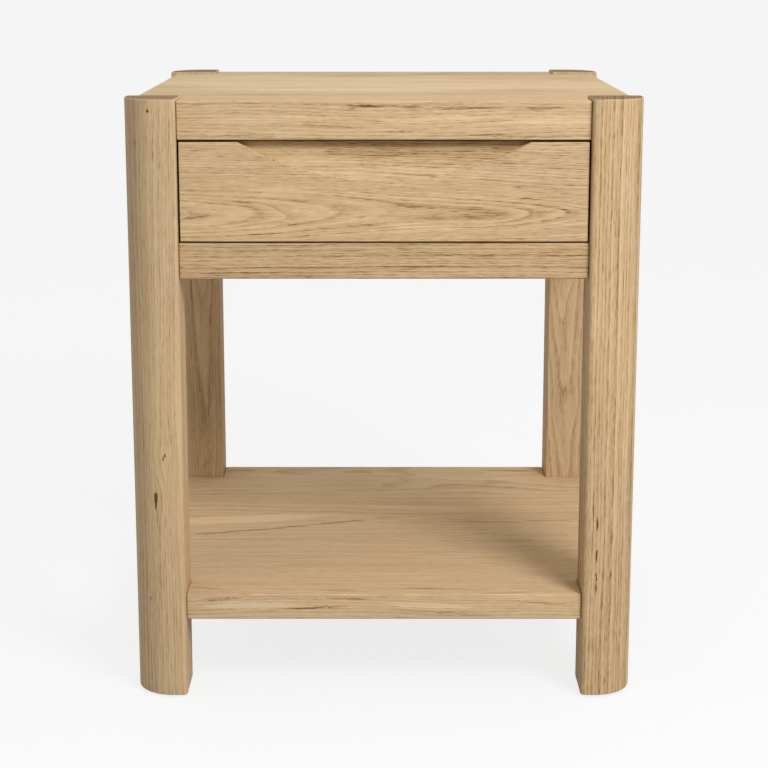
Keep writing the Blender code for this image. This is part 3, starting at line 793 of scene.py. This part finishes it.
# Drawer front. A solid oak board screwed on from inside the box. A long curved recess is cut
# back into its top edge for the fingers, with the lip of the cut just broken.
FRONT_EASE = 0.0012
SCOOP_HALF_WIDTH = 0.1425
SCOOP_DROP = 0.0375
SCOOP_DEPTH = 0.0135
SCOOP_STEPS = 160
SCOOP_LIP = 0.0008
SCOOP_LIP_SHARE = 0.45
SCOOP_LEAST = 0.0002


def scooped_front():
    """The front's solid.

    One arc bounds the recess, whose floor slopes back from the arc's lowest point to the top
    edge. `lip` is the arc on the face, `seat` is behind the broken edge, and `base` is the floor.
    """
    low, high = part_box("drawer_front")
    radius = (SCOOP_HALF_WIDTH**2 + SCOOP_DROP**2) / (2 * SCOOP_DROP)
    middle = high.z + radius - SCOOP_DROP
    floor = high.z - SCOOP_DROP
    reach = math.asin(SCOOP_HALF_WIDTH / radius)
    bm = bmesh.new()
    lip, seat, base = [], [], []
    for i in range(SCOOP_STEPS + 1):
        angle = reach * (2 * i / SCOOP_STEPS - 1)
        x, z = radius * math.sin(angle), middle - radius * math.cos(angle)
        back = SCOOP_DEPTH / SCOOP_DROP * (z - floor) + SCOOP_LEAST
        soft = min(SCOOP_LIP, back * SCOOP_LIP_SHARE)
        fall = 0 if i in (0, SCOOP_STEPS) else math.cos(angle) * soft
        lip.append(bm.verts.new((x + math.sin(angle) * soft, low.y, z - fall)))
        seat.append(bm.verts.new((x, low.y + soft, z)))
        base.append(bm.verts.new((x, low.y + back, z)))
    corners = {}
    for end, x in (("left", low.x), ("right", high.x)):
        for side, y in (("front", low.y), ("back", high.y)):
            for level, z in (("low", low.z), ("high", high.z)):
                corners[f"{end} {side} {level}"] = bm.verts.new((x, y, z))

    def face(*points):
        bm.faces.new([corners[p] if isinstance(p, str) else p for p in points])

    face("left front low", "right front low", "right front high", *lip[::-1], "left front high")
    face("right back low", "left back low", "left back high", "right back high")
    face("left front low", "left back low", "right back low", "right front low")
    face("left front low", "left front high", "left back high", "left back low")
    face("right front low", "right back low", "right back high", "right front high")
    face(
        "left front high", lip[0], seat[0], base[0], base[-1], seat[-1], lip[-1],
        "right front high", "right back high", "left back high",
    )
    for i in range(SCOOP_STEPS):
        face(lip[i], lip[i + 1], seat[i + 1], seat[i])
        face(seat[i], seat[i + 1], base[i + 1], base[i])
    face(*base)
    bmesh.ops.recalc_face_normals(bm, faces=bm.faces)
    return bm


# The first mark is painted shade: the deep upper part of the recess, under the top, is darkened.
# The rest are streaks and flecks in the wood.
FRONT_MARKS_AND_PAINTED_SHADE = [
    ((0.0000, -0.2205, 0.5600), (0.140, 0.0120, 0.0420), 0.17),
    ((0.1420, BOARD_FRONT, 0.5125), (0.014, 0.0060, 0.0011), 0.32, ("Y", -2)),
    ((0.1560, BOARD_FRONT, 0.5000), (0.014, 0.0060, 0.0014), 0.28, ("Y", 3)),
    ((-0.0230, BOARD_FRONT, 0.4950), (0.014, 0.0060, 0.0018), 0.44, ("Y", 4)),
    ((-0.1380, BOARD_FRONT, 0.5095), (0.013, 0.0060, 0.0016), 0.42, ("Y", -4)),
    ((-0.1830, BOARD_FRONT, 0.4945), (0.014, 0.0060, 0.0017), 0.40, ("Y", 5)),
    ((-0.0900, BOARD_FRONT, 0.4880), (0.034, 0.0060, 0.0015), 0.34, ("Y", 9)),
    ((0.0400, BOARD_FRONT, 0.4850), (0.045, 0.0060, 0.0040), -0.18, ("Y", -6)),
    ((-0.1000, BOARD_FRONT, 0.5200), (0.050, 0.0060, 0.0036), -0.14, ("Y", -3)),
]
front_oak = wood(
    "oak drawer front", "X", (0.0, -0.1905, 0.4965), tilt=(0.024, 0.0), ring=0.0015,
    wave=0.014, base=0.42, rings=0.85, marks=FRONT_MARKS_AND_PAINTED_SHADE,
)
wooden("drawer_front_oak", scooped_front(), "drawer_front", front_oak, FRONT_EASE)

# Screws. Pan-head steel screws, darkened by their plating, fix the slides to the cleats and
# the box, and the box to the drawer front.
STEEL_GRAIN = (700.0, 700.0, 700.0)
STEEL_ROUGHNESS = 0.36
SCREW_STEEL = ((0.20, tone("8f8c86")), (0.55, tone("7a7771")), (0.95, tone("57534d")))
screw_steel = flecked("screw steel", SCREW_STEEL, STEEL_GRAIN, STEEL_ROUGHNESS, metallic=1.0)
for name in sorted(frame["nodes"]):
    if name.startswith("screw_"):
        finished(name, screw_steel)

# Floor. A wide sheet of pale matt studio paper, rolled out flat under the glides. To the eye it
# is nearly as bright as the wall behind it, and it still takes the nightstand's shadow.
FLOOR_RADIUS = 80.0
FLOOR_SIDES = 96
PAPER = (0.55, 0.55, 0.55, 1.0)
PAPER_IN_VIEW = (0.90, 0.90, 0.90, 1.0)
PAPER_GLOW_COLOUR = (0.962, 0.962, 0.962, 1.0)
PAPER_GLOW = 0.85


def seen_directly(tree):
    """1 where the eye, a reflection or glass looks at a backdrop, and 0 for the light it gives."""
    path = node(tree, "LightPath").outputs
    seen = sums(tree, "MAXIMUM", path["Is Camera Ray"], path["Is Glossy Ray"])
    return sums(tree, "MAXIMUM", seen, path["Is Transmission Ray"])


floor_mesh = bpy.data.meshes.new("floor")
bm = bmesh.new()
bmesh.ops.create_circle(bm, cap_ends=True, segments=FLOOR_SIDES, radius=FLOOR_RADIUS)
bm.to_mesh(floor_mesh)
bm.free()
floor = bpy.data.objects.new("floor", floor_mesh)
bpy.context.scene.collection.objects.link(floor)
paper = bpy.data.materials.new("pale floor")
paper.use_nodes = True
paper_tree = paper.node_tree
paper_shader = paper_tree.nodes["Principled BSDF"]
paper_shader.inputs["Base Color"].default_value = PAPER
paper_shader.inputs["Roughness"].default_value = 1.0
paper_shader.inputs["Specular IOR Level"].default_value = 0.0
pale = node(paper_tree, "BsdfDiffuse", {"Color": PAPER_IN_VIEW})
glow = node(paper_tree, "Emission", {"Color": PAPER_GLOW_COLOUR, "Strength": 1.0})
sheet = node(paper_tree, "MixShader", {0: PAPER_GLOW, 1: pale.outputs[0], 2: glow.outputs[0]})
shaders = {0: seen_directly(paper_tree), 1: paper_shader.outputs[0], 2: sheet.outputs[0]}
both = node(paper_tree, "MixShader", shaders)
paper_tree.links.new(both.outputs[0], paper_tree.nodes["Material Output"].inputs["Surface"])
floor_mesh.materials.append(paper)

# Light. A white room with a brighter ceiling gives an even light from all round, and one large
# round softbox stands ahead of the nightstand, to its right and above it.
WALL = (0.913, 0.913, 0.913, 1.0)
ROOM_LIGHT = 0.27
CEILING_LIGHT = 0.85
SOFTBOX_POWER = 36.0
SOFTBOX_WIDTH = 0.85
SOFTBOX_DISTANCE = 2.4
SOFTBOX_TURN = math.radians(32)
SOFTBOX_RISE = math.radians(35.5)
SOFTBOX_AIM = Vector((0.0, 0.0, 0.3))
world = bpy.data.worlds.new("studio")
bpy.context.scene.world = world
world.use_nodes = True
sky = world.node_tree
background = sky.nodes["Background"]
background.inputs["Color"].default_value = (1.0, 1.0, 1.0, 1.0)
aloft = node(sky, "SeparateXYZ", {0: node(sky, "TexCoord").outputs["Generated"]}).outputs["Z"]
aloft = sums(sky, "POWER", sums(sky, "MAXIMUM", aloft, 0.0), 2.0)
room = sums(sky, "MULTIPLY_ADD", aloft, CEILING_LIGHT, ROOM_LIGHT)
sky.links.new(room, background.inputs["Strength"])
wall = node(sky, "Background", {"Color": WALL, "Strength": 1.0})
shaders = {0: seen_directly(sky), 1: background.outputs[0], 2: wall.outputs[0]}
both = node(sky, "MixShader", shaders)
sky.links.new(both.outputs[0], sky.nodes["World Output"].inputs["Surface"])
softbox_data = bpy.data.lights.new("softbox", "AREA")
softbox_data.shape = "DISK"
softbox_data.size = SOFTBOX_WIDTH
softbox_data.energy = SOFTBOX_POWER
softbox = bpy.data.objects.new("softbox", softbox_data)
bpy.context.scene.collection.objects.link(softbox)
level = math.cos(SOFTBOX_RISE)
toward = Vector(
    (math.sin(SOFTBOX_TURN) * level, -math.cos(SOFTBOX_TURN) * level, math.sin(SOFTBOX_RISE))
)
softbox.location = SOFTBOX_AIM + toward * SOFTBOX_DISTANCE
softbox.rotation_euler = toward.to_track_quat("Z", "Y").to_euler()

# Camera. It stands straight ahead, a little above the top, and looks slightly down through a
# long lens that is shifted a little, so that the posts stay nearly upright.
CAMERA_DISTANCE = 1.7251
CAMERA_HEIGHT = 0.7395
CAMERA_TILT = 11.16
CAMERA_LENS = 84.06
CAMERA_SENSOR = 36.0
CAMERA_SHIFT = -0.09
camera_data = bpy.data.cameras.new("camera")
camera = bpy.data.objects.new("camera", camera_data)
bpy.context.scene.collection.objects.link(camera)
camera_data.sensor_width = CAMERA_SENSOR
camera_data.lens = CAMERA_LENS
camera_data.shift_y = CAMERA_SHIFT
camera.location = (0.0, cad_low.y - CAMERA_DISTANCE, CAMERA_HEIGHT)
camera.rotation_euler = (math.radians(90 - CAMERA_TILT), 0.0, 0.0)
bpy.context.scene.camera = camera
bpy.context.scene.view_settings.view_transform = "Standard"
